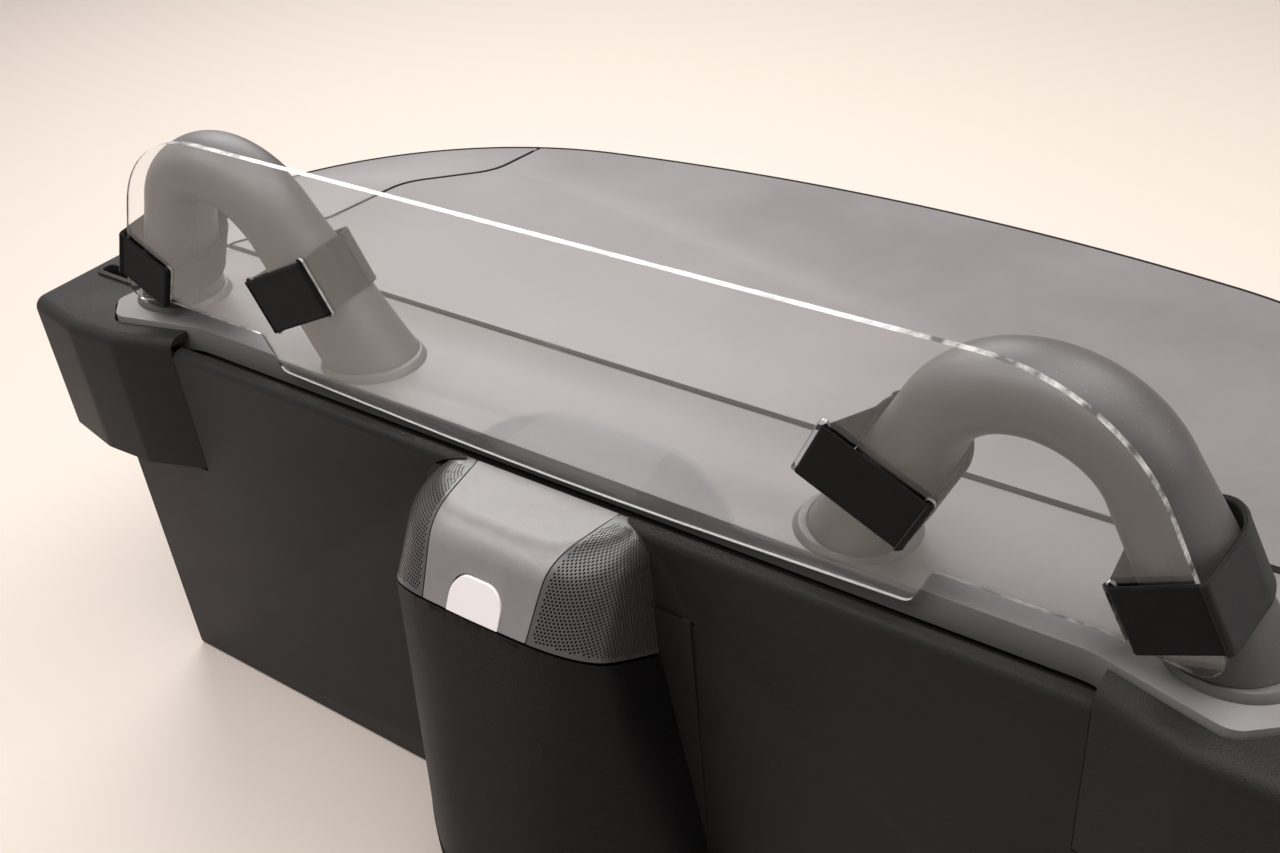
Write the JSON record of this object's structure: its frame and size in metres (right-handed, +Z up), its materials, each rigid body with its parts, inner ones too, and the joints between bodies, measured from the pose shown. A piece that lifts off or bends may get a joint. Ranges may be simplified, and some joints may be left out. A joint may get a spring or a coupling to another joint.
{
  "type": "roadster roll hoop and wind deflector unit",
  "caption": "Rear bulkhead unit of an open two-seat car: padded roll hoops, clear strapped wind deflector, shelf, stowage box with a fold-down door, and a dark deck cover.",
  "frame": {"origin": "middle of the four body bolts, on the underside of the cross-member's end flanges", "axes": "+X across the car to its right side seen from behind the seats looking rearwards, +Y towards the rear of the car, +Z up"},
  "size_m": [1.28, 0.7464, 0.6441],
  "materials": {
    "frame_steel": "black satin primer paint",
    "shelf_skin": "fine matt grain",
    "deck_skin": "fine matt grain",
    "trim_grain": "dark leather-like grain",
    "clear_acrylic": "clear acrylic with polished edges",
    "box_satin": "satin grain",
    "button_cream": "smooth cream white",
    "bin_plastic": "matt black",
    "hoop_skin": "soft-touch dark grey",
    "strap_web": "black hook-and-loop web",
    "grille_gloss": "perforated, semi-gloss black"
  },
  "bodies": {
    "unit": {"cross_member": "frame_steel", "bulkhead_panel": "frame_steel", "hinge_pin": "frame_steel", "shelf": "shelf_skin", "deck_cover": "deck_skin", "bulkhead_trim": "trim_grain", "deflector_panel": "clear_acrylic", "box_cover": "box_satin", "latch_button": "button_cream", "stowage_bin": "bin_plastic", "hoop_tube_left": "frame_steel", "hoop_cover_left": "hoop_skin", "collar_inner_left": "shelf_skin", "collar_outer_left": "shelf_skin", "strap_inner_left": "strap_web", "strap_outer_left": "strap_web", "side_trim_left": "trim_grain", "grille_left": "grille_gloss", "deck_flap_left": "deck_skin", "deck_rail_left": "frame_steel", "hoop_tube_right": "frame_steel", "hoop_cover_right": "hoop_skin", "collar_inner_right": "shelf_skin", "collar_outer_right": "shelf_skin", "strap_inner_right": "strap_web", "strap_outer_right": "strap_web", "side_trim_right": "trim_grain", "grille_right": "grille_gloss", "deck_flap_right": "deck_skin", "deck_rail_right": "frame_steel"},
    "door": {"stowage_door": "trim_grain"}
  },
  "joints": [
    {"name": "door_hinge", "type": "hinge", "parent": "unit", "child": "door", "pos_m": [0, -0.128, -0.298], "axis": [1, 0, 0], "range_deg": [0, 50]}
  ]
}
